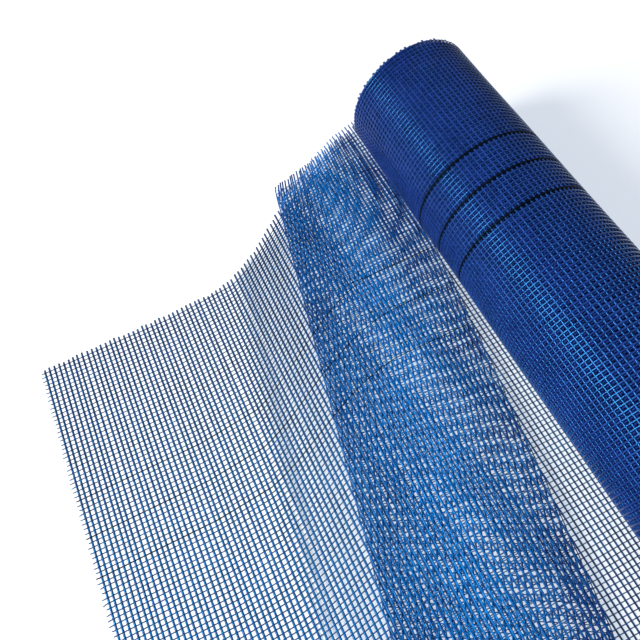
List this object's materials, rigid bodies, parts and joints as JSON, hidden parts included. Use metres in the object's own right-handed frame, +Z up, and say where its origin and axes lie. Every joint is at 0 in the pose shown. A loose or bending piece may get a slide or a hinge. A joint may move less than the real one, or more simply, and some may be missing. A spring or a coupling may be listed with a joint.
{
  "type": "roll of fiberglass mesh",
  "caption": "Roll of open woven glass-fibre reinforcing mesh with a bore through it, its loose end drawn out, folded over itself and lying flat",
  "frame": {"origin": "middle of the footprint of roll and loose end, on the floor", "axes": "+Z up; +Y along the roll's axis, towards the end that the loose web overhangs; +X from the cut end towards the roll"},
  "size_m": [0.452, 1.1074, 0.116],
  "materials": {
    "glass_fibre_mesh": "resin-coated open weave, blue"
  },
  "bodies": {
    "root": {"mesh_roll": "glass_fibre_mesh"}
  },
  "joints": []
}
